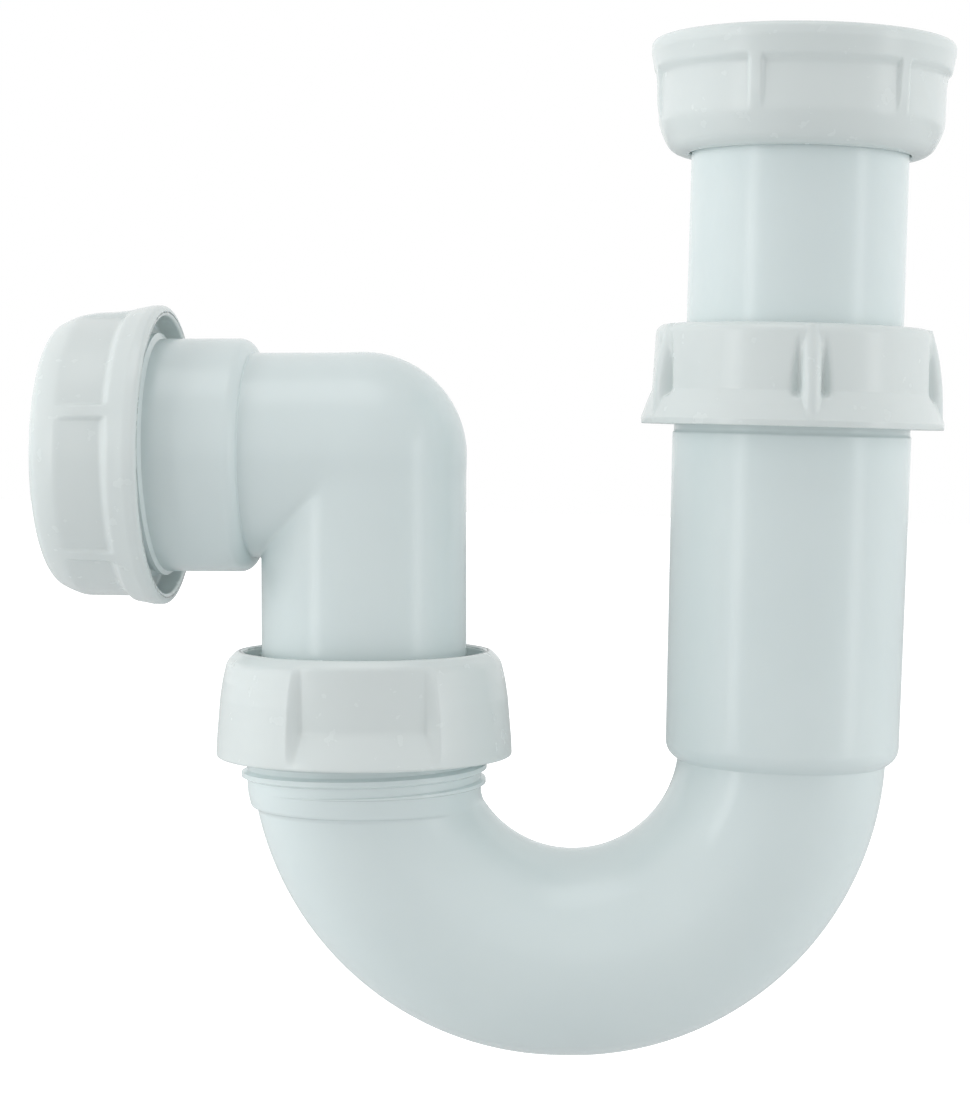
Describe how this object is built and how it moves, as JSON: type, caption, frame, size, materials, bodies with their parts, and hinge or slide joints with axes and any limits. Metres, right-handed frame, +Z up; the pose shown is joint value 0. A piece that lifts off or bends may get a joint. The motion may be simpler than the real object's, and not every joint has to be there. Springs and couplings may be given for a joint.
{
  "type": "sink trap",
  "caption": "Adjustable tubular swivel P-trap for a 40 mm sink waste, in white plastic, with a telescopic inlet.",
  "frame": {"origin": "centre of the top face of the inlet washer, where the sink waste seats", "axes": "+Z up along the inlet tube, -X along the outlet, -Y the side shown in the picture"},
  "size_m": [0.1751, 0.0627, 0.1985],
  "materials": {
    "pipe_white": "glossy",
    "nut_white": "glossy",
    "ring_white": "satin",
    "seal_black": "matte"
  },
  "bodies": {
    "inlet_nut": {"inlet_nut": "nut_white"},
    "inlet_leg": {"inlet_tube": "pipe_white", "inlet_washer": "seal_black"},
    "trap": {"trap_body": "pipe_white", "slide_seal": "seal_black", "swivel_seal": "seal_black"},
    "slide_ring": {"slide_ring": "ring_white"},
    "slide_nut": {"slide_nut": "nut_white"},
    "swivel_ring": {"swivel_ring": "ring_white"},
    "swivel_nut": {"swivel_nut": "nut_white"},
    "elbow": {"outlet_elbow": "pipe_white", "outlet_seal": "seal_black"},
    "outlet_ring": {"outlet_ring": "ring_white"},
    "outlet_nut": {"outlet_nut": "nut_white"}
  },
  "joints": [
    {"name": "inlet_turn", "type": "hinge", "parent": "inlet_nut", "child": "inlet_leg", "pos_m": [0, 0, 0], "axis": [0, 0, 1], "continuous": true},
    {"name": "telescope", "type": "slide", "parent": "inlet_leg", "child": "trap", "axis": [0, 0, 1], "range_m": [-0.022, 0.026]},
    {"name": "slide_ring_lift", "type": "slide", "parent": "trap", "child": "slide_ring", "axis": [0, 0, 1], "range_m": [0, 0.0061]},
    {"name": "slide_nut_turn", "type": "hinge", "parent": "slide_ring", "child": "slide_nut", "pos_m": [0, 0, -0.05], "axis": [0, 0, 1], "range_deg": [0, 720]},
    {"name": "swivel_ring_lift", "type": "slide", "parent": "trap", "child": "swivel_ring", "axis": [-0.0262, 0, 0.9997], "range_m": [0, 0.0083]},
    {"name": "swivel_nut_turn", "type": "hinge", "parent": "swivel_ring", "child": "swivel_nut", "pos_m": [-0.08179, 0, -0.12467], "axis": [-0.0262, 0, 0.9997], "range_deg": [0, 990]},
    {"name": "outlet_swivel", "type": "hinge", "parent": "trap", "child": "elbow", "pos_m": [-0.08179, 0, -0.12467], "axis": [-0.0262, 0, 0.9997], "range_deg": [-125, 130]},
    {"name": "outlet_ring_travel", "type": "slide", "parent": "elbow", "child": "outlet_ring", "axis": [-0.9951, 0.0958, -0.0261], "range_m": [-0.003, 0.0061]},
    {"name": "outlet_nut_turn", "type": "hinge", "parent": "outlet_ring", "child": "outlet_nut", "pos_m": [-0.08327, 0, -0.06809], "axis": [-0.9951, 0.0958, -0.0261], "range_deg": [-350, 720]}
  ],
  "couplings": [
    {"joint": "slide_ring_lift", "follows": "slide_nut_turn", "m_per_rad": 0.00047746},
    {"joint": "swivel_ring_lift", "follows": "swivel_nut_turn", "m_per_rad": 0.00047746},
    {"joint": "outlet_ring_travel", "follows": "outlet_nut_turn", "m_per_rad": 0.00047746}
  ]
}
